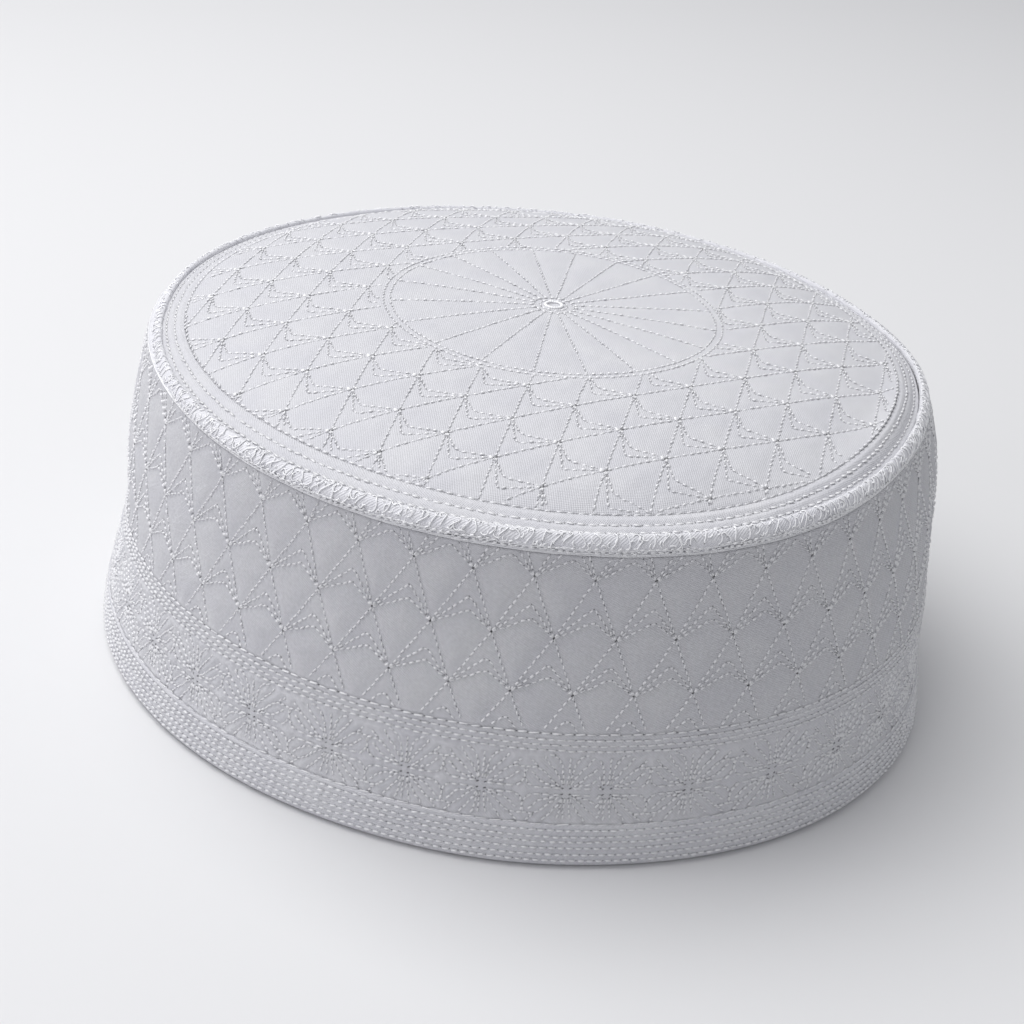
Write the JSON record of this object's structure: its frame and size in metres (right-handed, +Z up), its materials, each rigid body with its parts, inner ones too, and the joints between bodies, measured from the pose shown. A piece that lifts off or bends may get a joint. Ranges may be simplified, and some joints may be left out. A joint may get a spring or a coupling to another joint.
{
  "type": "prayer cap",
  "caption": "Round quilted cotton cap with a domed crown, an upright wall, a whipped roll at the rim and a flared hem, hollow for a head.",
  "frame": {"origin": "middle of the face that the cap rests on, at the bottom of its hem", "axes": "+Z up through the crown, the front of the cap looks along -Y"},
  "size_m": [0.1892, 0.184, 0.0813],
  "materials": {
    "cotton": "matte white twill, quilted",
    "thread": "white embroidery thread with a satin shine"
  },
  "bodies": {
    "root": {"crown_panel": "cotton", "shoulder_band": "cotton", "rim_roll": "thread", "seam_cord": "thread", "side_wall": "cotton", "lower_band": "cotton", "hem_band": "cotton", "centre_eyelet": "thread"}
  },
  "joints": []
}
